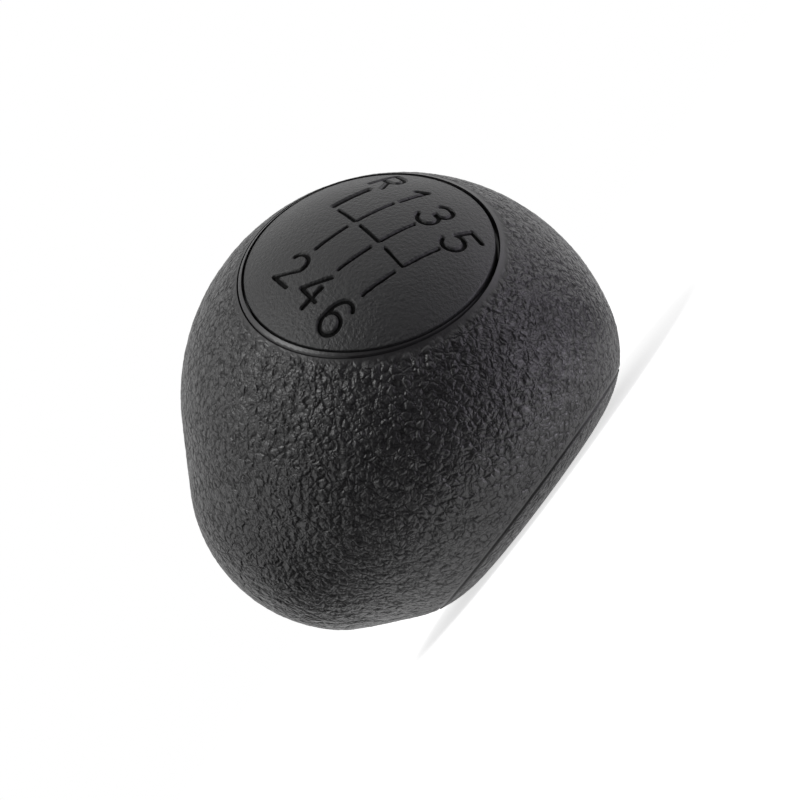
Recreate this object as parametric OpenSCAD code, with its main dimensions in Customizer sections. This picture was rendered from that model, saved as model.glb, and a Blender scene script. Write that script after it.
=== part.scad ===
// Gear shift knob with a tilted shift pattern disc, for a push-on lever.
// Frame: origin at the mouth of the lever bore, in the flat base, +Z up the lever.
// The main ball is centred on the lever. The palm swell lies towards -X, and the
// pattern disc leans away from it, towards +X and -Y.

/* [Grip] */
// Radius of the main ball, centred on the lever
ball_r = 29; // [28:0.5:31]
// Radius of the smaller ball that forms the palm swell
palm_r = 20.5; // [18:0.5:23]
// Distance of the palm ball behind the main ball
palm_offset = 12.4; // [11:0.2:15]
// Height of both ball centres above the flat base
ball_height = 22; // [21:0.5:24]
// Thickness of the moulded wall
grip_wall = 3; // [2.5:0.1:3.4]

/* [Base] */
// Radius of the flat that the knob stands on
base_flat_r = 12; // [11:0.5:14]
// Radius of the soft edge between the flat and the sides
base_round = 16; // [14:0.5:18]
// Steepest slope of the base edge, in degrees
base_slope = 40; // [36:1:44]
// Height of the joint line between the base cap and the grip
joint_height = 2.1; // [1.8:0.1:2.6]
// Height of the open groove along the joint line
joint_gap = 0.3; // [0.2:0.05:0.5]
// Depth of the open groove along the joint line
joint_depth = 0.8; // [0.5:0.1:1.2]
// Radius of the round mouth under the grip
mouth_r = 16.5; // [16:0.1:17]

/* [Pattern disc] */
// Radius of the pattern disc
disc_r = 16; // [15:0.25:17]
// Lean of the disc away from the lever, in degrees
disc_tilt = 57.5; // [52:0.5:60]
// Heading of the lean round the lever, in degrees
disc_azimuth = -58.5; // [-70:0.5:-50]
// Radius of the domed face
disc_dome_r = 30; // [28.5:0.5:36]
// Height of the disc edge above its seat
disc_edge_t = 1.8; // [1.5:0.1:2.2]
// Thickness of the domed plate
disc_plate_t = 2.2; // [1.8:0.1:2.6]
// Depth of the disc edge below the ball surface
disc_recess = 0.15; // [0.05:0.05:0.3]
// Drop of the chamfer round the domed face
disc_chamfer = 0.15; // [0.1:0.05:0.3]
// Radial gap round the disc
disc_gap = 0.3; // [0.2:0.05:0.5]
// Width of the bevel on the rim round the disc
rim_bevel = 0.5; // [0.3:0.1:0.7]
// Thickness of the ledge that the disc seats on
ledge_t = 1.8; // [1.5:0.1:2.2]
// Radial width of the ledge
ledge_w = 3.5; // [3:0.1:4]
// Number of snap legs under the disc
leg_count = 3; // [2:1:4]
// Thickness of a snap leg
leg_t = 1.3; // [1.1:0.1:1.6]
// Arc that one snap leg takes, in degrees
leg_arc = 28; // [20:1:36]
// Reach of a snap hook under the ledge
hook_reach = 0.9; // [0.6:0.1:1.1]

/* [Lever socket] */
// Radius of the lever bore
bore_r = 6; // [5:0.25:6.5]
// Depth of the lever bore
bore_depth = 30; // [26:0.5:32]
// Wall of the lever sleeve
sleeve_wall = 1.6; // [1.2:0.1:1.8]
// Width of the collar at the foot of the sleeve
collar_w = 1.4; // [1:0.1:1.6]
// Thickness of that collar
collar_t = 1.5; // [1.2:0.1:2]
// Width of the key that stops the sleeve turning
key_w = 2.4; // [2:0.1:3]
// Height of that key above the sleeve wall
key_h = 1; // [0.6:0.1:1.2]
// Wall of the socket core round the sleeve
core_wall = 2.4; // [2.2:0.1:2.8]
// Thickness of the core's foot flange
flange_t = 2; // [1.6:0.1:2.4]
// Thickness of the core's roof
roof_t = 2; // [1.5:0.1:2.5]
// Room above the clip for the tip of the lever
tip_room = 4; // [3:0.5:5]
// Number of stiffening ribs on the core
rib_count = 6; // [4:1:8]
// Thickness of a rib
rib_t = 1.8; // [1.4:0.1:2.2]
// Thickness of the spring clip
clip_t = 1; // [0.8:0.1:1.2]
// Radial play between the clip's ring and the lever
clip_play = 0.4; // [0.3:0.1:0.6]
// Reach of the clip's teeth into the bore
tooth_reach = 0.5; // [0.3:0.1:0.8]
// Height that the teeth are bent up from the ring's underside
tooth_lift = 0.4; // [0.2:0.1:0.6]
// Width of the slot that lets the clip spring open
clip_slot = 3; // [2.5:0.25:4]
// Number of teeth on the clip
tooth_count = 5; // [3:1:6]

/* [Base cap] */
// Height of the cap's spigot inside the grip
spigot_h = 3.4; // [3:0.1:3.8]
// Wall of the spigot
spigot_wall = 2.5; // [2:0.1:2.6]
// Number of snap lugs on the spigot
lug_count = 3; // [2:1:4]
// Arc that one snap lug takes, in degrees
lug_arc = 24; // [16:1:30]
// Reach of a snap lug over the grip's lip
lug_reach = 0.7; // [0.4:0.1:0.8]

/* [Fits] */
// Radial clearance between pieces that push together
push_fit = 0.15; // [0.1:0.05:0.2]
// Clearance under snap hooks and lugs
snap_fit = 0.2; // [0.15:0.05:0.3]

/* [Hidden] */
$fn = 160;

// Lengths that only reach past a piece to cut or clip it cleanly
past = 1;
far = 80;
// How far the cone between the balls tucks in under each of them
tuck = 0.05;

// Heights of the disc, measured along its axis from the centre of the main ball
disc_edge_d = sqrt(ball_r * ball_r - disc_r * disc_r) - disc_recess;
dome_centre_d = disc_edge_d - sqrt(disc_dome_r * disc_dome_r - disc_r * disc_r);
seat_d = disc_edge_d - disc_edge_t;
ledge_under_d = seat_d - ledge_t;
pocket_r = disc_r + disc_gap;
ledge_r = pocket_r - ledge_w;
seat_block_r = pocket_r + ledge_t;
leg_outer_r = ledge_r - push_fit;
hook_top_d = ledge_under_d - snap_fit;
hook_h = hook_reach + leg_t / 2;
leg_tip_d = hook_top_d - hook_h;
leg_root_d = dome_centre_d + sqrt(pow(disc_dome_r - disc_plate_t / 2, 2) - leg_outer_r * leg_outer_r);
plate_rim_r = ledge_r + ledge_w / 4;
rim_bevel_d = sqrt(ball_r * ball_r - pocket_r * pocket_r) - rim_bevel;

// Sizes that stack outwards from the lever bore
sleeve_r = bore_r + sleeve_wall;
collar_r = sleeve_r + collar_w;
core_bore_r = sleeve_r + push_fit;
core_r = core_bore_r + core_wall;
clip_in_r = bore_r + clip_play;
clip_top = bore_depth + clip_t;
tip_r = bore_r - 2 * tooth_reach;
core_tip = clip_top + snap_fit + tip_room;
core_top = core_tip + roof_t;
key_foot = joint_height + collar_t;
key_top = bore_depth - sleeve_wall;

// Sizes that stack inwards from the mouth of the grip
spigot_r = mouth_r - push_fit;
spigot_in_r = spigot_r - spigot_wall;
flange_r = spigot_in_r - push_fit;
spigot_top = joint_height + spigot_h;
rib_out_r = flange_r;
rib_foot = joint_height + flange_t;
rib_top = bore_depth;
rib_shoulder = rib_foot + (rib_top - rib_foot) / 3;

// Inside of the grip: the lip at the mouth and the boss that steadies the core
lip_run = mouth_r + lug_reach - base_flat_r;
inner_round = base_round - grip_wall;
lip_top = base_round - sqrt(inner_round * inner_round - lip_run * lip_run);
boss_in_r = core_r + push_fit;
boss_r = boss_in_r + grip_wall / 2;
boss_foot = core_top - tip_room;
boss_floor = core_top + snap_fit;

// Slope of the cone that joins the two balls
taper = (ball_r - palm_r) / palm_offset;
taper_run = sqrt(1 - taper * taper);

// Ball with its palm swell, set in from the surface
module ball_form(inset) {
    big = ball_r - inset;
    small = palm_r - inset;
    cone_foot = (big - tuck) * taper;
    cone_tip = palm_offset + (small - tuck) * taper;
    translate([0, 0, ball_height])
        rotate([0, -90, 0]) {
            sphere(r = big);
            translate([0, 0, palm_offset])
                sphere(r = small);
            translate([0, 0, cone_foot])
                cylinder(
                    h = cone_tip - cone_foot,
                    r1 = (big - tuck) * taper_run,
                    r2 = (small - tuck) * taper_run
                );
        }
}

// Half outline of the room above the rounded base, set in from the surface
module base_outline(inset) {
    edge_r = base_round - inset;
    slope_x = base_flat_r + edge_r * sin(base_slope);
    slope_z = base_round - edge_r * cos(base_slope);
    rise = (far - slope_x) * tan(base_slope);
    intersection() {
        union() {
            translate([base_flat_r, base_round])
                circle(r = edge_r);
            polygon([
                [0, inset],
                [base_flat_r, inset],
                [base_flat_r, base_round],
                [slope_x, slope_z],
                [far, slope_z + rise],
                [far, far + rise],
                [0, far + rise]
            ]);
        }
        square([far, far]);
    }
}

module base_form(inset) {
    rotate_extrude()
        base_outline(inset);
}

// Whole outer or inner form of the grip and its base together
module grip_form(inset) {
    intersection() {
        ball_form(inset);
        base_form(inset);
    }
}

// Puts a piece that is drawn along +Z on the axis of the disc
module on_disc_axis() {
    translate([0, 0, ball_height])
        rotate([0, disc_tilt, disc_azimuth])
            children();
}

// Stiff block behind the ledge, which the cavity leaves standing
module seat_block() {
    on_disc_axis()
        translate([0, 0, ledge_under_d])
            cylinder(h = far, r = seat_block_r);
}

// Steadying boss that hangs from the ceiling over the core
module ceiling_boss() {
    difference() {
        translate([0, 0, boss_foot])
            cylinder(h = far / 2, r = boss_r);
        translate([0, 0, boss_foot - past])
            cylinder(h = boss_floor - boss_foot + past, r = boss_in_r);
    }
}

// Pocket, ledge opening and rim bevel for the disc
module disc_pocket() {
    on_disc_axis() {
        translate([0, 0, seat_d])
            cylinder(h = far, r = pocket_r);
        translate([0, 0, rim_bevel_d])
            cylinder(h = 3 * rim_bevel, r1 = pocket_r, r2 = pocket_r + 3 * rim_bevel);
        translate([0, 0, leg_tip_d - past])
            cylinder(h = far, r = ledge_r);
    }
}

module grip_shell() {
    color([0.09, 0.09, 0.1])
        difference() {
            grip_form(0);
            difference() {
                grip_form(grip_wall);
                seat_block();
                ceiling_boss();
            }
            disc_pocket();
            translate([0, 0, -past])
                cylinder(h = joint_height + past, r = far);
            cylinder(h = inner_round, r = mouth_r);
        }
}

// One snap lug, drawn at angle zero
module cap_lug() {
    rotate([0, 0, -lug_arc / 2])
        rotate_extrude(angle = lug_arc)
            polygon([
                [spigot_r - spigot_wall / 2, lip_top + snap_fit],
                [mouth_r + lug_reach - snap_fit, lip_top + snap_fit],
                [spigot_r, spigot_top],
                [spigot_r - spigot_wall / 2, spigot_top]
            ]);
}

module base_cap() {
    groove_r = base_flat_r + sqrt(base_round * base_round - pow(base_round - joint_height, 2)) - joint_depth;
    color([0.09, 0.09, 0.1])
        difference() {
            union() {
                intersection() {
                    base_form(0);
                    cylinder(h = joint_height, r = far);
                }
                cylinder(h = spigot_top, r = spigot_r);
                for (i = [0 : lug_count - 1])
                    rotate([0, 0, 360 * i / lug_count])
                        cap_lug();
            }
            translate([0, 0, joint_height])
                cylinder(h = spigot_h + past, r = spigot_in_r);
            translate([0, 0, -past])
                cylinder(h = joint_height + 2 * past, r = sleeve_r + push_fit);
            difference() {
                translate([0, 0, joint_height - joint_gap])
                    cylinder(h = joint_gap, r = far);
                translate([0, 0, joint_height - joint_gap - past])
                    cylinder(h = joint_gap + 2 * past, r = groove_r);
            }
        }
}

// Half outline of the domed plate with its thick seating edge
module disc_outline() {
    difference() {
        intersection() {
            translate([0, dome_centre_d])
                circle(r = disc_dome_r);
            polygon([
                [0, seat_d],
                [disc_r, seat_d],
                [disc_r, disc_edge_d - disc_chamfer],
                [disc_r - past, disc_edge_d - disc_chamfer + past],
                [disc_r - past, far],
                [0, far]
            ]);
        }
        intersection() {
            translate([0, dome_centre_d])
                circle(r = disc_dome_r - disc_plate_t);
            translate([0, seat_d - past])
                square([plate_rim_r, far]);
        }
    }
}

// One snap leg, drawn at angle zero
module disc_leg() {
    rotate([0, 0, -leg_arc / 2])
        rotate_extrude(angle = leg_arc)
            polygon([
                [leg_outer_r - leg_t, leg_root_d],
                [leg_outer_r, leg_root_d],
                [leg_outer_r, hook_top_d],
                [ledge_r + hook_reach, hook_top_d],
                [leg_outer_r, leg_tip_d],
                [leg_outer_r - leg_t, leg_tip_d]
            ]);
}

module pattern_disc() {
    color([0.11, 0.11, 0.12])
        on_disc_axis() {
            rotate_extrude()
                disc_outline();
            for (i = [0 : leg_count - 1])
                rotate([0, 0, 360 * i / leg_count])
                    disc_leg();
        }
}

// One gusset rib, drawn along +X
module core_rib() {
    rotate([90, 0, 0])
        translate([0, 0, -rib_t / 2])
            linear_extrude(height = rib_t)
                polygon([
                    [core_bore_r + core_wall / 2, rib_foot - flange_t / 2],
                    [rib_out_r, rib_foot - flange_t / 2],
                    [rib_out_r, rib_shoulder],
                    [core_bore_r + core_wall / 2, rib_top]
                ]);
}

module socket_core() {
    color([0.16, 0.16, 0.17])
        difference() {
            union() {
                translate([0, 0, joint_height])
                    cylinder(h = core_top - joint_height, r = core_r);
                translate([0, 0, joint_height])
                    cylinder(h = flange_t, r = flange_r);
                for (i = [0 : rib_count - 1])
                    rotate([0, 0, 360 * (i + 0.5) / rib_count])
                        core_rib();
            }
            translate([0, 0, joint_height - past])
                cylinder(h = clip_top + snap_fit - joint_height + past, r = core_bore_r);
            translate([0, 0, joint_height - past])
                cylinder(h = collar_t + push_fit + past, r = collar_r + push_fit);
            cylinder(h = core_tip, r = tip_r);
            translate([0, -key_w / 2 - push_fit, joint_height - past])
                cube([sleeve_r + key_h + push_fit, key_w + 2 * push_fit, key_top + push_fit - joint_height + past]);
        }
}

module lever_sleeve() {
    color([0.75, 0.75, 0.72])
        difference() {
            union() {
                cylinder(h = bore_depth, r = sleeve_r);
                translate([0, 0, joint_height])
                    cylinder(h = collar_t, r = collar_r);
                translate([0, -key_w / 2, key_foot - collar_t / 2])
                    cube([sleeve_r + key_h, key_w, key_top - key_foot + collar_t / 2]);
            }
            translate([0, 0, -past])
                cylinder(h = bore_depth + 2 * past, r = bore_r);
        }
}

module retaining_clip() {
    tooth_step = 360 / (tooth_count + 1);
    color([0.6, 0.61, 0.63])
        translate([0, 0, bore_depth]) {
            difference() {
                cylinder(h = clip_t, r = sleeve_r);
                translate([0, 0, -past])
                    cylinder(h = clip_t + 2 * past, r = clip_in_r);
                translate([0, -clip_slot / 2, -past])
                    cube([sleeve_r + past, clip_slot, clip_t + 2 * past]);
            }
            for (i = [1 : tooth_count])
                rotate([0, 0, i * tooth_step])
                    translate([bore_r - tooth_reach, -sleeve_wall / 2, tooth_lift])
                        cube([tooth_reach + clip_play + clip_t / 2, sleeve_wall, clip_t - tooth_lift]);
        }
}

grip_shell();
base_cap();
pattern_disc();
socket_core();
lever_sleeve();
retaining_clip();
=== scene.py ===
"""Looks of the gear shift knob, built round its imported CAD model.

The frame is the CAD model's: origin at the mouth of the lever bore, +Z up the lever.
Sizes are written in millimetres, and MM turns them into metres.
"""
import math

import bmesh
import bpy
import numpy as np
from mathutils import Matrix, Vector


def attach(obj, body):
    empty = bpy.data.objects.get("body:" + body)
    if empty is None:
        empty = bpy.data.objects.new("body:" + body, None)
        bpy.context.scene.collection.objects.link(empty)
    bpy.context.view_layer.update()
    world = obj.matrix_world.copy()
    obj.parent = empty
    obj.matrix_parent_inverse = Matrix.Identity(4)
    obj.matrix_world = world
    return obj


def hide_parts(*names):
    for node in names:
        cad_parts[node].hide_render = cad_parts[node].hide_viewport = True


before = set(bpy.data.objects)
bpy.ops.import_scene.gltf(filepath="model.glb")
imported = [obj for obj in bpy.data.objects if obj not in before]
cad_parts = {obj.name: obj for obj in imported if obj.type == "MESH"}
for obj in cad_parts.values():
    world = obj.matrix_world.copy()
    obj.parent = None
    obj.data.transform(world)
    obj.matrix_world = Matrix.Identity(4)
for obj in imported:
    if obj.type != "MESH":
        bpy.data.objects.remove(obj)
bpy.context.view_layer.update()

MM = 0.001

# Sizes that the CAD model is drawn with
BALL_R = 29.0
PALM_R = 20.5
PALM_OFFSET = 12.4
BALL_HEIGHT = 22.0
GRIP_WALL = 3.0
BASE_FLAT_R = 12.0
BASE_ROUND = 16.0
BASE_SLOPE = math.radians(40)
JOINT_HEIGHT = 2.1
JOINT_GAP = 0.3
JOINT_DEPTH = 0.8
MOUTH_R = 16.5
DISC_R = 16.0
DISC_TILT = math.radians(57.5)
DISC_AZIMUTH = math.radians(-58.5)
DISC_DOME_R = 30.0
DISC_EDGE_T = 1.8
DISC_PLATE_T = 2.2
DISC_RECESS = 0.15
DISC_GAP = 0.3
LEDGE_T = 1.8
LEDGE_W = 3.5
LEG_COUNT = 3
LEG_T = 1.3
LEG_ARC = math.radians(28)
HOOK_REACH = 0.9
SLEEVE_R = 7.6
CORE_R = 10.15
CORE_TOP = 37.2
TIP_ROOM = 4.0
SPIGOT_H = 3.4
SPIGOT_WALL = 2.5
LUG_COUNT = 3
LUG_ARC = math.radians(24)
LUG_REACH = 0.7
PUSH_FIT = 0.15
SNAP_FIT = 0.2

# Heights along the axis of the disc, from the centre of the main ball
DISC_EDGE_D = math.sqrt(BALL_R**2 - DISC_R**2) - DISC_RECESS
DOME_CENTRE_D = DISC_EDGE_D - math.sqrt(DISC_DOME_R**2 - DISC_R**2)
SEAT_D = DISC_EDGE_D - DISC_EDGE_T
LEDGE_UNDER_D = SEAT_D - LEDGE_T
POCKET_R = DISC_R + DISC_GAP
LEDGE_R = POCKET_R - LEDGE_W
LEG_OUTER_R = LEDGE_R - PUSH_FIT
HOOK_TOP_D = LEDGE_UNDER_D - SNAP_FIT
LEG_TIP_D = HOOK_TOP_D - HOOK_REACH - LEG_T / 2
INNER_ROUND = BASE_ROUND - GRIP_WALL
LIP_TOP = BASE_ROUND - math.sqrt(INNER_ROUND**2 - (MOUTH_R + LUG_REACH - BASE_FLAT_R) ** 2)

# Steps of turned shapes, cells of grids, a reach past everything, and what counts as on the axis
CAP_STEPS, FACING_STEPS, WALL_STEPS, HIDDEN_STEPS, FLOOR_STEPS, LEG_STEPS = 480, 384, 160, 96, 64, 12
GRIP_CELLS = 132
DISC_CELLS = 276
CAVITY_CELLS = 40
FAR = 80
ON_AXIS = 1e-9
# Points nearer than this are merged, and shorter edges than that are dissolved, both in metres
MERGE, DISSOLVE = 1e-8, 1e-9

# Shapes that only the looks have
CHAMFER, TIP_CHAMFER = 0.15, 0.3
PATTERN_TURN = math.radians(-23.5)
CORNER_SOFTNESS = 0.8
FACE_R = 15.62
WELL_R = 15.96
RING_R = 16.4
RING_SHIFT = (-0.15, -0.26)
RING_DROP = 0.1
CREASE_W = 0.3
CREASE_DEPTH = 0.5
RIM_ROUND = 0.22
ENGRAVE_DEPTH = 0.4
SMOOTH_ANGLE = math.radians(42)

# Leather grain: its depth, the most that its height adds up to, and the sizes of what it is made of
GRAIN_DEPTH = 0.12
CAP_GRAIN_DEPTH = 0.084
GRAIN_TOP = 1.6
PEBBLE, BEAD, SWELL, WRINKLE, PORE = 1.02, 0.56, 1.0, 0.42, 0.16
LEATHER_BLACK = (0.012, 0.0115, 0.0124)
# It fades between two angles off the disc's axis, to a small share of its depth, and to nothing over a
# height above the joint, over a height below it, and over a width at the flat of the base
GRAIN_FULL, GRAIN_FAINT, FAINT_SHARE = math.radians(37.5), math.radians(34.8), 0.03
JOINT_FADE, CAP_FADE, FLAT_FADE = 0.3, 0.2, 2

DISC_PLACE = (
    Matrix.Translation((0, 0, BALL_HEIGHT))
    @ Matrix.Rotation(DISC_AZIMUTH, 4, "Z")
    @ Matrix.Rotation(DISC_TILT, 4, "Y")
)
PATTERN_PLACE = DISC_PLACE @ Matrix.Rotation(PATTERN_TURN, 4, "Z")
DISC_AXIS = np.array(DISC_PLACE.to_3x3() @ Vector((0, 0, 1)))


# Meshes


def ease(low, high, x):
    """0 below low, 1 above high, and a smooth rise between them"""
    t = np.clip((x - low) / (high - low), 0, 1)
    return t * t * (3 - 2 * t)


def make_piece(name, points, faces, place=None):
    """Mesh object from points in millimetres, moved by place within its own mesh"""
    mesh = bpy.data.meshes.new(name)
    mesh.from_pydata(np.asarray(points, float).tolist(), [], [list(f) for f in faces])
    if place is not None:
        mesh.transform(place)
    mesh.transform(Matrix.Scale(MM, 4))
    piece = bpy.data.objects.new(name, mesh)
    bpy.context.scene.collection.objects.link(piece)
    return piece


def turn_outwards(piece):
    """Merges doubles and points every face of a closed mesh outwards"""
    shape = bmesh.new()
    shape.from_mesh(piece.data)
    bmesh.ops.remove_doubles(shape, verts=shape.verts, dist=MERGE)
    bmesh.ops.dissolve_degenerate(shape, edges=shape.edges, dist=DISSOLVE)
    bmesh.ops.recalc_face_normals(shape, faces=shape.faces)
    shape.to_mesh(piece.data)
    shape.free()
    return piece


def set_amount(piece, amount, name="grain"):
    """Writes how much grain, or how much painted shade for the engraving and the rim's foot, each point carries, from
    0 to 1
    """
    layer = piece.data.attributes.new(name, "FLOAT", "POINT")
    layer.data.foreach_set("value", np.full(len(piece.data.vertices), amount, np.float32))
    return piece


def points_of(piece):
    """Points of a piece, in millimetres"""
    flat = np.empty(len(piece.data.vertices) * 3, np.float32)
    piece.data.vertices.foreach_get("co", flat)
    return flat.reshape(-1, 3) / MM


def bake(piece):
    """Turns a piece with live modifiers into a plain mesh"""
    scene_now = bpy.context.evaluated_depsgraph_get()
    made = bpy.data.meshes.new_from_object(piece.evaluated_get(scene_now))
    piece.modifiers.clear()
    piece.data = made
    return piece


def combine(piece, operation, *tools):
    """Cuts the tools out of a closed piece, or joins them to it"""
    for tool in tools:
        change = piece.modifiers.new(tool.name, "BOOLEAN")
        change.operation = operation
        change.solver = "MANIFOLD"
        change.object = tool
    bake(piece)
    for tool in tools:
        bpy.data.objects.remove(tool)
    return piece


def revolve(name, outline, steps, place=None, arc=math.tau):
    """Closed piece from a closed outline of radius and height, turned about Z all round or through an arc"""
    whole = arc == math.tau
    turns = np.arange(steps) * arc / steps if whole else np.linspace(-arc / 2, arc / 2, steps + 1)
    outline = np.asarray(outline, float)
    points = [(r * math.cos(t), r * math.sin(t), z) for t in turns for r, z in outline]
    size, count = len(outline), len(turns)
    faces = []
    for k in range(count if whole else count - 1):
        a, b = k * size, (k + 1) % count * size
        for i in range(size):
            j = (i + 1) % size
            if outline[i][0] > ON_AXIS or outline[j][0] > ON_AXIS:
                faces.append((a + i, b + i, b + j, a + j))
    if not whole:
        faces += [tuple(range(size)), tuple(range((count - 1) * size, count * size))]
    return turn_outwards(make_piece(name, points, faces, place))


def join_around(piece, name, outline, count, place, arc):
    """Joins copies of one small part to a piece, spaced evenly about an axis"""
    for k in range(count):
        turned = place @ Matrix.Rotation(math.tau * k / count, 4, "Z")
        combine(piece, "UNION", revolve(f"{name}_{k}", outline, LEG_STEPS, turned, arc))
    return piece


def arc_points(centre_r, centre_z, radius, start, end, steps):
    """Points on an arc of an outline, with angles measured from the radius towards Z"""
    return [
        (centre_r + radius * math.cos(a), centre_z + radius * math.sin(a))
        for a in np.linspace(start, end, steps)
    ]


def grid_faces(cells):
    """Point numbers of a square grid with that many cells along a side, and its four-sided faces"""
    row = np.arange((cells + 1) ** 2).reshape(cells + 1, cells + 1)
    return row, np.stack([row[:-1, :-1], row[1:, :-1], row[1:, 1:], row[:-1, 1:]], -1).reshape(-1, 4)


def ball_grid(cells):
    """Unit directions and four-sided faces of a ball, from a cube with that many cells along an edge"""
    count = np.arange(cells + 1)
    i, j = (g.ravel() for g in np.meshgrid(count, count, indexing="ij"))
    low, high = np.zeros_like(i), np.full_like(i, cells)
    sides = [(i, j, high), (j, i, low), (high, i, j), (low, j, i), (j, high, i), (i, low, j)]
    keys = np.concatenate([(x * (cells + 1) + y) * (cells + 1) + z for x, y, z in sides])
    corners = np.concatenate([np.stack(s, 1) for s in sides])
    _, first, merged = np.unique(keys, return_index=True, return_inverse=True)
    directions = np.tan((2 * corners[first] / cells - 1) * math.pi / 4)
    directions /= np.linalg.norm(directions, axis=1, keepdims=True)
    side = grid_faces(cells)[1]
    faces = np.concatenate([side + k * (cells + 1) ** 2 for k in range(len(sides))])
    return directions, merged.ravel()[faces]


def ball_depth(p):
    """How deep a point lies inside the ball with its palm swell"""
    taper = (BALL_R - PALM_R) / PALM_OFFSET
    run = math.sqrt(1 - taper * taper)
    along = -p[:, 0]
    aside = np.hypot(p[:, 1], p[:, 2] - BALL_HEIGHT)
    place = run * along - taper * aside
    near_ball = BALL_R - np.hypot(along, aside)
    near_palm = PALM_R - np.hypot(along - PALM_OFFSET, aside)
    between = BALL_R - run * aside - taper * along
    return np.where(place < 0, near_ball, np.where(place > run * PALM_OFFSET, near_palm, between))


def base_depth(p):
    """How far a point lies above the flat base and in from its rounded edge and slope"""
    out = np.hypot(p[:, 0], p[:, 1]) - BASE_FLAT_R
    below = BASE_ROUND - p[:, 2]
    lean = np.arctan2(out, below)
    on_round = BASE_ROUND - np.hypot(out, below)
    slope_r = BASE_ROUND * math.sin(BASE_SLOPE)
    slope_z = BASE_ROUND * (1 - math.cos(BASE_SLOPE))
    on_slope = (p[:, 2] - slope_z) * math.cos(BASE_SLOPE) - (out - slope_r) * math.sin(BASE_SLOPE)
    return np.where(out <= 0, p[:, 2], np.where(lean <= BASE_SLOPE, on_round, on_slope))


def grip_depth(p, softness):
    """How deep a point lies inside the grip, with the corner between ball and base softened"""
    ball, base = ball_depth(p), base_depth(p)
    if not softness:
        return np.minimum(ball, base)
    overlap = np.maximum(softness - np.abs(ball - base), 0) / softness
    return np.minimum(ball, base) - overlap**2 * softness / 4


def grip_form(name, inset, cells, softness=0.0):
    """Closed form of the grip, set in from its surface, which is found by halving along each direction"""
    directions, quads = ball_grid(cells)
    centre = np.array([0, 0, BALL_HEIGHT])
    near, far = np.zeros(len(directions)), np.full(len(directions), FAR)
    for _ in range(40):
        middle = (near + far) / 2
        inside = grip_depth(centre + directions * middle[:, None], softness) > inset
        near, far = np.where(inside, middle, near), np.where(inside, far, middle)
    return make_piece(name, centre + directions * near[:, None], quads)


def grain_amount(p):
    """Grain fades to smooth at the disc and at the joint line"""
    ray = p - np.array([0, 0, BALL_HEIGHT])
    facing = ray @ DISC_AXIS / np.linalg.norm(ray, axis=1)
    near_disc = ease(math.cos(GRAIN_FULL), math.cos(GRAIN_FAINT), facing)
    faded = 1 - (1 - FAINT_SHARE) * near_disc
    return faded * ease(JOINT_HEIGHT, JOINT_HEIGHT + JOINT_FADE, p[:, 2])


# Shader and geometry nodes


class Sock:
    """A node's output that Python's operators extend with Math nodes"""

    def __init__(self, net, socket):
        self.net, self.socket = net, socket

    def __add__(self, other):
        return self.net.math("ADD", self, other)

    def __sub__(self, other):
        return self.net.math("SUBTRACT", self, other)

    def __rsub__(self, other):
        return self.net.math("SUBTRACT", other, self)

    def __mul__(self, other):
        return self.net.math("MULTIPLY", self, other)

    __radd__, __rmul__ = __add__, __mul__


class Net:
    """Adds nodes to one tree: a material's, the world's or a geometry modifier's"""

    def __init__(self, tree):
        self.tree = tree

    def node(self, kind, settings=None, values=None, output=0):
        """A node of that type, with its settings made first and then its sockets' values or links"""
        made = self.tree.nodes.new(kind)
        for key, value in (settings or {}).items():
            setattr(made, key, value)
        for key, value in (values or {}).items():
            if isinstance(value, Sock):
                self.tree.links.new(value.socket, made.inputs[key])
            else:
                made.inputs[key].default_value = value
        return Sock(self, made.outputs[output]) if made.outputs else made

    def math(self, operation, *values):
        return self.node("ShaderNodeMath", {"operation": operation}, dict(enumerate(values)))

    def vector(self, operation, *values):
        return self.node("ShaderNodeVectorMath", {"operation": operation}, dict(enumerate(values)))

    def scaled(self, direction, factor):
        return self.node("ShaderNodeVectorMath", {"operation": "SCALE"}, {0: direction, "Scale": factor})

    def ease(self, value, low, high, start=0.0, end=1.0):
        """start below low, end above high, and a smooth change between them"""
        return self.node(
            "ShaderNodeMapRange",
            {"interpolation_type": "SMOOTHSTEP"},
            {"Value": value, "From Min": low, "From Max": high, "To Min": start, "To Max": end},
        )

    def noise(self, where, size, detail=2.0, roughness=0.5, output=0):
        """Soft noise with features of about that size, in metres"""
        return self.node(
            "ShaderNodeTexNoise",
            None,
            {"Vector": where, "Scale": 1 / size, "Detail": detail, "Roughness": roughness},
            output,
        )

    def cells(self, where, size):
        """How far a point is from the walls of cells of about that size, in metres"""
        return self.node(
            "ShaderNodeTexVoronoi",
            {"feature": "DISTANCE_TO_EDGE", "voronoi_dimensions": "3D"},
            {"Vector": where, "Scale": 1 / size},
        )

    def bend(self, where, size, reach):
        """Moves a point about by noise, so that a pattern made there runs unevenly"""
        drift = self.noise(where, size, detail=1.0, output=1)
        drift = self.vector("SUBTRACT", drift, (0.5, 0.5, 0.5))
        return self.vector("ADD", where, self.scaled(drift, reach))


def leather_height(net, where):
    """Height of the leather grain, below GRAIN_TOP, and how open it is there: 0 down in the creases, 1 on a pebble,
    which sets the painted shade in the creases
    """
    bent = net.bend(where, 1.9 * MM, 1.2 * MM)
    fade = net.ease(net.noise(where, 1.3 * MM, detail=1.0), 0.34, 0.64, 0.2, 0.9)
    pebbles = 1 - (1 - net.ease(net.cells(bent, PEBBLE * MM), 0.0, 0.32)) * fade
    beads = 1 - (1 - net.ease(net.cells(bent, BEAD * MM), 0.0, 0.34)) * (1.15 - fade)
    swell = net.noise(where, SWELL * MM, detail=1.3)
    return pebbles * 0.52 + beads * 0.2 + swell * 1.1, pebbles * 0.6 + beads * 0.4


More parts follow.
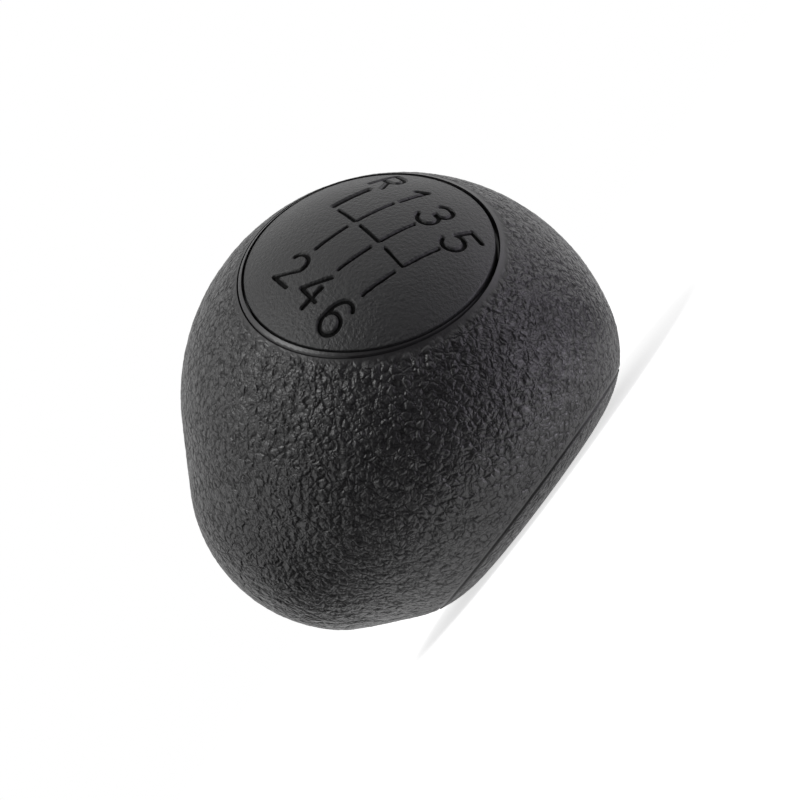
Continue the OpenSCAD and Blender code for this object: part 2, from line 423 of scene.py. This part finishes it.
def grain_tree():
    """Geometry nodes that press the leather grain into a surface"""
    tree = bpy.data.node_groups.new("press_grain", "GeometryNodeTree")
    tree.interface.new_socket("Geometry", in_out="INPUT", socket_type="NodeSocketGeometry")
    tree.interface.new_socket("Geometry", in_out="OUTPUT", socket_type="NodeSocketGeometry")
    tree.interface.new_socket("Depth", in_out="INPUT", socket_type="NodeSocketFloat")
    tree.interface.new_socket("Finish", in_out="INPUT", socket_type="NodeSocketMaterial")
    net = Net(tree)
    geometry, depth, finish = (
        net.node("NodeGroupInput", output=name) for name in ("Geometry", "Depth", "Finish")
    )
    where = net.node("GeometryNodeInputPosition")
    normal = net.node("GeometryNodeInputNormal")
    amount = net.node("GeometryNodeInputNamedAttribute", {"data_type": "FLOAT"}, {"Name": "grain"})
    sink = (leather_height(net, where)[0] - GRAIN_TOP) * amount * depth
    pressed = net.node(
        "GeometryNodeSetPosition", None, {"Geometry": geometry, "Offset": net.scaled(normal, sink)}
    )
    real = net.node("GeometryNodeRealizeInstances", None, {"Geometry": pressed})
    done = net.node("GeometryNodeSetMaterial", None, {"Geometry": real, "Material": finish})
    net.node("NodeGroupOutput", None, {"Geometry": done})
    return tree


def press_grain(piece, tree, depth, finish):
    """Presses the grain into a piece and bakes it"""
    change = piece.modifiers.new("grain", "NODES")
    change.node_group = tree
    inputs = {item.name: item.identifier for item in tree.interface.items_tree if item.in_out == "INPUT"}
    change[inputs["Depth"]] = depth * MM
    change[inputs["Finish"]] = finish
    return bake(piece)


def new_material(name):
    """Empty material, and the net that adds its nodes"""
    material = bpy.data.materials.new(name)
    material.use_nodes = True
    material.node_tree.nodes.clear()
    return material, Net(material.node_tree)


def close_material(net, values):
    """Ends a material in one Principled shader with these values"""
    shader = net.node("ShaderNodeBsdfPrincipled", None, values)
    net.node("ShaderNodeOutputMaterial", None, {"Surface": shader})


def mix_colour(net, amount, first, second):
    """First colour where the amount is 0, and second where it is 1"""
    return net.node("ShaderNodeMix", {"data_type": "RGBA"}, {"Factor": amount, 6: first, 7: second}, output=2)


def mix_shaders(net, amount, first, second):
    """Ends a material in two Principled shaders: the first where the amount is 0, the second where it is 1"""
    first, second = (net.node("ShaderNodeBsdfPrincipled", None, values) for values in (first, second))
    both = net.node("ShaderNodeMixShader", None, {0: amount, 1: first, 2: second})
    net.node("ShaderNodeOutputMaterial", None, {"Surface": both})


def shade(tone, level):
    """A tone made lighter or darker, with full opacity"""
    return (*(level * part for part in tone), 1)


def leather_material(name):
    """Leather-grained black plastic: pebbles carry the sheen, and creases are matt with painted shade, a darker
    colour for the shade that falls in them
    """
    material, net = new_material(name)
    where = net.node("ShaderNodeTexCoord", output="Object")
    amount = net.node("ShaderNodeAttribute", {"attribute_name": "grain"}, output="Fac")
    height, open_grain = leather_height(net, where)
    wrinkles = net.ease(net.cells(net.bend(where, 0.9 * MM, 0.5 * MM), WRINKLE * MM), 0.0, 0.25)
    pores = net.noise(where, PORE * MM)
    patches = net.noise(where, 7 * MM)
    relief = (height + wrinkles * 0.05) * amount + pores * 0.03
    bump = net.node("ShaderNodeBump", None, {"Strength": 1.0, "Distance": 0.27 * MM, "Height": relief})
    uneven = pores - 0.5
    # Painted shade: the creases get a darker colour and a dimmer gloss than the pebbles, for the shade that falls
    # down in them
    shaded_crease = {
        "Base Color": shade(LEATHER_BLACK, 0.3), "Roughness": 0.6 + 0.1 * uneven, "Normal": bump,
        "IOR": 1.5, "Specular IOR Level": 0.1,
    }
    top = {
        "Base Color": mix_colour(net, patches, shade(LEATHER_BLACK, 0.8), shade(LEATHER_BLACK, 1.2)),
        "Roughness": 0.38 + 0.08 * (patches - 0.5) + 0.06 * uneven, "Normal": bump,
        "IOR": 1.5, "Specular IOR Level": 0.6,
    }
    # How closed the grain is, which sets how much painted crease shade each point gets
    closed = net.ease(open_grain * 0.8 + wrinkles * 0.2, 0.25, 0.72, 0.85, 0.0)
    mix_shaders(net, 1 - amount * closed, shaded_crease, top)
    return material


def disc_material():
    """Fine spark-etched black plastic of the pattern disc, with painted shade: matt black in the engraved strokes and
    at the foot of the rim, where shade falls
    """
    material, net = new_material("disc_plastic")
    where = net.node("ShaderNodeTexCoord", output="Object")
    groove = net.node("ShaderNodeAttribute", {"attribute_name": "groove"}, output="Fac")
    etch = net.noise(where, 0.42 * MM, detail=3.0, roughness=0.6)
    patches = net.noise(where, 6 * MM)
    tone = mix_colour(net, patches, (0.012, 0.012, 0.0125, 1), (0.018, 0.018, 0.0185, 1))
    uneven = etch - 0.5
    bump = net.node("ShaderNodeBump", None, {"Strength": 1.0, "Distance": 0.17 * MM, "Height": etch})
    face = {
        "Base Color": tone, "Roughness": 0.43 + 0.1 * uneven + 0.06 * (patches - 0.5), "Normal": bump,
        "IOR": 1.46,
    }
    # Painted shade in the grooves and the gap: a near-black colour and a weak gloss
    shaded_groove = {
        "Base Color": (0.003, 0.003, 0.003, 1), "Roughness": 0.6 + 0.1 * uneven, "Normal": bump,
        "IOR": 1.46, "Specular IOR Level": 0.08,
    }
    mix_shaders(net, net.ease(groove, 0.45, 0.9), face, shaded_groove)
    return material


def moulded_material(name, dark, light, roughness):
    """Plain moulded plastic with faint flow marks and a fine skin"""
    material, net = new_material(name)
    where = net.node("ShaderNodeTexCoord", output="Object")
    flow = net.noise(net.vector("MULTIPLY", where, (1, 1, 0.25)), 3 * MM, detail=3.0)
    skin = net.noise(where, 0.25 * MM)
    colour = mix_colour(net, flow, dark + (1,), light + (1,))
    rough = roughness + 0.12 * (flow - 0.5) + 0.05 * (skin - 0.5)
    relief = flow * 0.5 + skin * 0.2
    bump = net.node("ShaderNodeBump", None, {"Strength": 0.5, "Distance": 0.03 * MM, "Height": relief})
    close_material(net, {"Base Color": colour, "Roughness": rough, "Normal": bump})
    return material


def steel_material():
    """Stamped spring steel with fine rolling marks"""
    material, net = new_material("spring_steel")
    where = net.node("ShaderNodeTexCoord", output="Object")
    marks = net.noise(net.vector("MULTIPLY", where, (0.06, 1, 1)), 0.12 * MM, detail=3.0)
    stain = net.noise(where, 2.5 * MM)
    colour = mix_colour(net, stain, (0.42, 0.43, 0.45, 1), (0.58, 0.59, 0.6, 1))
    rough = 0.3 + 0.14 * (marks - 0.5) + 0.1 * (stain - 0.5)
    bump = net.node("ShaderNodeBump", None, {"Strength": 0.4, "Distance": 0.01 * MM, "Height": marks})
    close_material(net, {"Base Color": colour, "Roughness": rough, "Normal": bump, "Metallic": 1.0})
    return material


def dress(piece, material):
    """One finish all over a piece, smooth faces and sharp edges"""
    piece.data.materials.clear()
    piece.data.materials.append(material)
    piece.data.polygons.foreach_set("material_index", np.zeros(len(piece.data.polygons), np.int32))
    piece.data.shade_smooth()
    piece.data.set_sharp_from_angle(angle=SMOOTH_ANGLE)


# Pieces


def make_grip(tree, finish):
    """Hollow grained grip with its disc seat, ceiling boss and mouth"""
    grip = grip_form("grip", 0, GRIP_CELLS, CORNER_SOFTNESS)
    set_amount(grip, grain_amount(points_of(grip)))
    press_grain(grip, tree, GRAIN_DEPTH, finish)
    cavity = set_amount(grip_form("cavity", GRIP_WALL, CAVITY_CELLS), 0)
    block_r = POCKET_R + LEDGE_T
    block = [(0, LEDGE_UNDER_D), (block_r, LEDGE_UNDER_D), (block_r, FAR), (0, FAR)]
    boss_in, boss_floor = CORE_R + PUSH_FIT, CORE_TOP + SNAP_FIT
    boss_r, boss_foot = boss_in + GRIP_WALL / 2, CORE_TOP - TIP_ROOM
    boss = [
        (boss_in, boss_foot), (boss_r, boss_foot), (boss_r, FAR), (0, FAR), (0, boss_floor), (boss_in, boss_floor),
    ]
    combine(
        cavity, "DIFFERENCE",
        revolve("block", block, HIDDEN_STEPS, DISC_PLACE), revolve("boss", boss, HIDDEN_STEPS),
    )
    low_r, lip = BALL_R - RING_DROP, math.sqrt(BALL_R**2 - RING_R**2)
    lean = math.asin((RING_R - CREASE_W) / low_r)
    edge_r, edge_d = RING_R + 0.05, lip + 0.02
    ring = [
        *arc_points(0, 0, low_r, math.pi / 2, math.pi / 2 - lean, 40),
        (RING_R - CREASE_W / 2, lip - CREASE_DEPTH), (edge_r, edge_d), (edge_r, FAR), (0, FAR),
    ]
    pocket = [(0, SEAT_D), (WELL_R, SEAT_D), (WELL_R, FAR), (0, FAR)]
    ledge = [(0, LEG_TIP_D - 1), (LEDGE_R, LEG_TIP_D - 1), (LEDGE_R, SEAT_D + 1), (0, SEAT_D + 1)]
    below = [(0, -1), (FAR, -1), (FAR, JOINT_HEIGHT), (0, JOINT_HEIGHT)]
    mouth = [(0, 0), (MOUTH_R, 0), (MOUTH_R, INNER_ROUND), (0, INNER_ROUND)]
    ring_place = DISC_PLACE @ Matrix.Translation((*RING_SHIFT, 0))
    return combine(
        grip, "DIFFERENCE", cavity,
        revolve("pocket", pocket, FACING_STEPS, DISC_PLACE), revolve("ring", ring, FACING_STEPS, ring_place),
        revolve("ledge", ledge, WALL_STEPS, DISC_PLACE), revolve("below", below, FLOOR_STEPS),
        revolve("mouth", mouth, WALL_STEPS),
    )


def make_cap(tree, finish):
    """Closing cap under the joint line, with its spigot and snap lugs"""
    top = JOINT_HEIGHT - JOINT_GAP
    rise = math.acos(1 - top / BASE_ROUND)
    flank = arc_points(BASE_FLAT_R, BASE_ROUND, BASE_ROUND, -math.pi / 2, rise - math.pi / 2, 22)
    joint_r = flank[-1][0]
    groove_r = BASE_FLAT_R + math.sqrt(BASE_ROUND**2 - (BASE_ROUND - JOINT_HEIGHT) ** 2) - JOINT_DEPTH
    spigot_r, hole_r = MOUTH_R - PUSH_FIT, SLEEVE_R + PUSH_FIT
    spigot_in, spigot_top = spigot_r - SPIGOT_WALL, JOINT_HEIGHT + SPIGOT_H
    outline = [
        (hole_r, CHAMFER), (hole_r + CHAMFER, 0), *flank, (joint_r - 0.05, top),
        (groove_r, top), (groove_r, JOINT_HEIGHT), (spigot_r, JOINT_HEIGHT),
        (spigot_r, spigot_top - TIP_CHAMFER), (spigot_r - TIP_CHAMFER, spigot_top), (spigot_in, spigot_top),
        (spigot_in, JOINT_HEIGHT), (hole_r, JOINT_HEIGHT),
    ]
    cap = revolve("cap", outline, CAP_STEPS)
    p = points_of(cap)
    below_joint = (1 - ease(top - CAP_FADE, top, p[:, 2])) * (p[:, 2] < top)
    set_amount(cap, ease(BASE_FLAT_R, BASE_FLAT_R + FLAT_FADE, np.hypot(p[:, 0], p[:, 1])) * below_joint)
    press_grain(cap, tree, CAP_GRAIN_DEPTH, finish)
    lug_in, lug_low = spigot_r - SPIGOT_WALL / 2, LIP_TOP + SNAP_FIT
    lug = [(lug_in, lug_low), (MOUTH_R + LUG_REACH - SNAP_FIT, lug_low), (spigot_r, spigot_top), (lug_in, spigot_top)]
    return join_around(cap, "lug", lug, LUG_COUNT, Matrix(), LUG_ARC)


def bow(centre_x, centre_y, across, up, start, end, steps=16):
    """Points of an oval arc, with angles in degrees from the right"""
    return [
        (centre_x + across * math.cos(a), centre_y + up * math.sin(a))
        for a in np.radians(np.linspace(start, end, steps))
    ]


# Strokes of the shift pattern, in millimetres from the middle of the disc: half width, softness, line
LINE, DIGIT, LETTER = (0.21, 0.16), (0.27, 0.2), (0.27, 0.4)
PATTERN = [
    (0.42, 0.5, [(-7.8, 0.9), (-7.8, 5.9)]),
    (*LINE, [(-2.3, 0.9), (-2.3, 6.1)]),
    (*LINE, [(2.8, 0.9), (2.8, 5.8)]),
    (*LINE, [(7.7, 0.9), (7.7, 5.8)]),
    (*LINE, [(-6.2, 0.62), (-2.5, 0.62)]),
    (*LINE, [(-1.2, 0.62), (2.7, 0.62)]),
    (*LINE, [(4.1, 0.62), (7.6, 0.62)]),
    (*LINE, [(-2.3, -0.6), (-2.3, -5.4)]),
    (*LINE, [(2.8, -0.6), (2.8, -5.4)]),
    (*LINE, [(7.7, -0.6), (7.7, -5.4)]),
    # R
    (*LETTER, [(-9.6, 7.2), (-9.6, 10.9), *bow(-8.1, 9.95, 1.3, 0.95, 90, -90), (-9.4, 9.0)]),
    (*LETTER, [(-8.2, 9.0), (-6.8, 7.3)]),
    # 1
    (*DIGIT, [(-3.3, 10.0), (-2.2, 11.1), (-2.2, 7.1)]),
    # 3
    (*DIGIT, [*bow(2.4, 10.05, 1.2, 1.15, 160, -90), *bow(2.4, 7.9, 1.35, 1.25, 90, -160)]),
    # 5
    (*DIGIT, [(8.8, 11.0), (6.9, 11.0), (6.7, 8.9), *bow(7.5, 7.9, 1.3, 1.35, 125, -150)]),
    # 2
    (*DIGIT, [*bow(-2.4, -8.0, 1.3, 1.3, 165, -25), (-3.7, -11.0), (-0.9, -11.0)]),
    # 4
    (*DIGIT, [(3.1, -6.6), (1.1, -9.9), (4.0, -9.9)]),
    (*DIGIT, [(3.2, -8.2), (3.3, -11.4)]),
    # 6
    (*DIGIT, [*bow(7.6, -9.3, 1.35, 2.3, 50, 180), *bow(7.5, -10.3, 1.25, 1.35, 180, 540, 30)]),
]


def stroke_depth(x, y):
    """How deep the pattern is engraved at each point of the disc"""
    depth = np.zeros_like(x)
    for half, soft, line in PATTERN:
        gap = np.full_like(x, 99.0)
        for (ax, ay), (bx, by) in zip(line, line[1:]):
            dx, dy = bx - ax, by - ay
            t = np.clip(((x - ax) * dx + (y - ay) * dy) / (dx * dx + dy * dy + 1e-12), 0, 1)
            gap = np.minimum(gap, np.hypot(x - ax - t * dx, y - ay - t * dy))
        depth = np.maximum(depth, ENGRAVE_DEPTH * (1 - ease(half - soft / 2, half + soft / 2, gap)))
    return depth


def make_plate():
    """Domed plate of the disc, closed under its rim, with the engraved shift pattern"""
    centre_r, round_r = FACE_R - RIM_ROUND, DISC_DOME_R - RIM_ROUND
    lean = math.asin(centre_r / round_r)
    top_r = centre_r + RIM_ROUND * math.sin(lean)
    side = np.linspace(-1, 1, DISC_CELLS + 1)
    u, v = (g.ravel() for g in np.meshgrid(side, side, indexing="ij"))
    x, y = top_r * u * np.sqrt(1 - v * v / 2), top_r * v * np.sqrt(1 - u * u / 2)
    engraved = stroke_depth(x, y)
    points = list(zip(x, y, DOME_CENTRE_D + np.sqrt(DISC_DOME_R**2 - x * x - y * y) - engraved))
    row, faces = grid_faces(DISC_CELLS)
    faces = faces.tolist()
    ring = [*row[:-1, 0], *row[-1, :-1], *row[:0:-1, -1], *row[0, :0:-1]]
    turn = [math.atan2(y[k], x[k]) for k in ring]
    count = len(ring)
    rim = arc_points(centre_r, DOME_CENTRE_D + round_r * math.cos(lean), RIM_ROUND, math.pi / 2 - lean, 0, 5)[1:]
    for r, d in [*rim, (FACE_R, SEAT_D + CHAMFER), (FACE_R - CHAMFER, SEAT_D)]:
        start = len(points)
        points += [(r * math.cos(a), r * math.sin(a), d) for a in turn]
        faces += [
            (ring[k], start + k, start + (k + 1) % count, ring[(k + 1) % count]) for k in range(count)
        ]
        ring = list(range(start, start + count))
    faces.append(ring[::-1])
    # Painted shade: matt black in the strokes and at the foot of the rim, for the shade that falls in the grooves and
    # in the gap round the disc
    groove = np.zeros(len(points))
    groove[:len(x)] = engraved / ENGRAVE_DEPTH
    groove[-2 * count:] = 1
    return turn_outwards(set_amount(make_piece("pattern_plate", points, faces, PATTERN_PLACE), groove, "groove"))


def make_disc():
    """Domed disc with the engraved shift pattern, hollow underneath, and its three snap legs"""
    disc = make_plate()
    under_r, plate_rim = DISC_DOME_R - DISC_PLATE_T, LEDGE_R + LEDGE_W / 4
    reach = math.acos(plate_rim / under_r)
    hollow = [
        (0, SEAT_D - 1), (plate_rim, SEAT_D - 1),
        *arc_points(0, DOME_CENTRE_D, under_r, reach, math.pi / 2, 14)[:-1], (0, DOME_CENTRE_D + under_r),
    ]
    combine(disc, "DIFFERENCE", revolve("hollow", hollow, WALL_STEPS, DISC_PLACE))
    root = DOME_CENTRE_D + math.sqrt((DISC_DOME_R - DISC_PLATE_T / 2) ** 2 - LEG_OUTER_R**2)
    leg = [
        (LEG_OUTER_R - LEG_T, root), (LEG_OUTER_R, root), (LEG_OUTER_R, HOOK_TOP_D),
        (LEDGE_R + HOOK_REACH, HOOK_TOP_D), (LEG_OUTER_R, LEG_TIP_D), (LEG_OUTER_R - LEG_T, LEG_TIP_D),
    ]
    return join_around(disc, "leg", leg, LEG_COUNT, DISC_PLACE, LEG_ARC)


grip_finish, cap_finish = leather_material("grained_grip"), leather_material("grained_cap")
press = grain_tree()
for piece, node, slot, finish in (
    (make_grip(press, grip_finish), "grip_shell", "grained_grip", grip_finish),
    (make_cap(press, cap_finish), "base_cap", "grained_cap", cap_finish),
    (make_disc(), "pattern_disc", "disc_plastic", disc_material()),
):
    dress(piece, finish)
    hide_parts(node)
    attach(piece, "root")

for node, finish in (
    ("socket_core", moulded_material("core_plastic", (0.045, 0.045, 0.047), (0.07, 0.07, 0.072), 0.5)),
    ("lever_sleeve", moulded_material("sleeve_plastic", (0.66, 0.65, 0.6), (0.76, 0.75, 0.71), 0.4)),
    ("retaining_clip", steel_material()),
):
    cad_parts[node].data.materials.clear()
    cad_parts[node].data.materials.append(finish)


# Studio

# Axes and place of the camera that was fitted to the photo, and the middle of the ball
RIGHT = Vector((0.59779, 0.02016, -0.80140))
UP = Vector((0.80165, -0.01503, 0.59760))
BACK = Vector((0.0, -0.99968, -0.02515))
EYE = Vector((-0.781, -274.154, 15.236)) * MM
AIM = Vector((0, 0, BALL_HEIGHT)) * MM
CAMERA_TURN = Matrix((RIGHT, UP, BACK)).transposed().to_4x4()
LENS, SENSOR = 94.93, 36

LAMP_SIZE, LAMP_AWAY = 0.16, 0.5
COOL = (1, 0.94, 1.08)
FILL, FLOOR_GLOW = 0.4, 0.68
FLOOR_R, FLOOR_T, FLOOR_TOP = 4000, 20, -0.02

# Outlines of the dark cards in millimetres: one stands behind the camera, that far from the ball, and
# one lies at that height over the base plane, cut back round the base
CARD_AWAY, CARD_HEIGHT = 420, 0.3
UPRIGHT_CARD = [(-340, -2000), (280, -2000), (280, 730), (-340, 730)]
LYING_CARD = [
    (-600, -900), (700, -900), (700, 60), (34, 10), (26, -22), (8, -34), (-10, -36), (-23, -33),
    (-34, -19), (-46, 0), (-70, 40), (-600, 140),
]


def lamp(name, across, up, back, power, colour=(1, 1, 1)):
    """Soft square lamp in a direction that the photograph's own axes give"""
    way = (RIGHT * across + UP * up + BACK * back).normalized()
    light = bpy.data.objects.new(name, bpy.data.lights.new(name, "AREA"))
    light.data.size, light.data.energy, light.data.color = LAMP_SIZE, power, colour
    light.location = AIM + way * LAMP_AWAY
    light.rotation_euler = way.to_track_quat("Z", "Y").to_euler()
    light.visible_camera = False
    bpy.context.scene.collection.objects.link(light)


def seen_white(net):
    """1 for the rays that see the background, 0 for the rest"""
    lens, gloss, glass = (
        net.node("ShaderNodeLightPath", output=f"Is {kind} Ray") for kind in ("Camera", "Glossy", "Transmission")
    )
    return net.node("ShaderNodeMath", {"operation": "ADD", "use_clamp": True}, {0: lens + gloss, 1: glass})


camera = bpy.data.objects.new("camera", bpy.data.cameras.new("camera"))
camera.data.lens, camera.data.sensor_width = LENS, SENSOR
camera.data.clip_start, camera.data.clip_end = 0.01, 50
camera.matrix_world = Matrix.Translation(EYE) @ CAMERA_TURN
bpy.context.scene.collection.objects.link(camera)
bpy.context.scene.camera = camera

lamp("key", -0.87, 0.28, 0.45, 0.9)
lamp("right", 0.82, 0.22, 0.36, 1.0, COOL)
lamp("upper", 0.72, 0.66, 0.05, 0.6, COOL)

# White to the lens, to gloss and to glass, and a softer fill for the rest
world = bpy.data.worlds.new("studio")
bpy.context.scene.world = world
world.use_nodes = True
world.cycles.sampling_method = "NONE"
world.node_tree.nodes.clear()
air = Net(world.node_tree)
fill, white = (
    air.node("ShaderNodeBackground", None, {"Color": (1, 1, 1, 1), "Strength": level}) for level in (FILL, 1.0)
)
sky = air.node("ShaderNodeMixShader", None, {0: seen_white(air), 1: fill, 2: white})
air.node("ShaderNodeOutputWorld", None, {"Surface": sky})

slab = [(0, -FLOOR_T), (FLOOR_R, -FLOOR_T), (FLOOR_R, FLOOR_TOP), (0, FLOOR_TOP)]
floor = revolve("floor", slab, FLOOR_STEPS)
floor_material, ground = new_material("floor")
matt = ground.node("ShaderNodeBsdfDiffuse", None, {"Color": (0.9, 0.9, 0.9, 1)})
glow = ground.node("ShaderNodeEmission", None, {"Strength": seen_white(ground) * FLOOR_GLOW})
bright = ground.node("ShaderNodeAddShader", None, {0: matt, 1: glow})
ground.node("ShaderNodeOutputMaterial", None, {"Surface": bright})
dress(floor, floor_material)
# The photo's light comes partly from where the floor lies, so the floor doesn't block the lamps
floor.visible_shadow = False

# Dark cards that only the knob's gloss mirrors
card_material, black = new_material("dark_card")
coat = black.node("ShaderNodeBsdfDiffuse", None, {"Color": (0.02, 0.02, 0.02, 1)})
black.node("ShaderNodeOutputMaterial", None, {"Surface": coat})
for name, outline, place in (
    ("upright_card", UPRIGHT_CARD, Matrix.Translation(AIM / MM + BACK * CARD_AWAY) @ CAMERA_TURN),
    ("lying_card", LYING_CARD, Matrix.Translation((0, 0, CARD_HEIGHT))),
):
    card = make_piece(name, [(x, y, 0) for x, y in outline], [range(len(outline))], place)
    dress(card, card_material)
    card.visible_camera = card.visible_diffuse = card.visible_shadow = False

bpy.context.scene.view_settings.view_transform = "Standard"
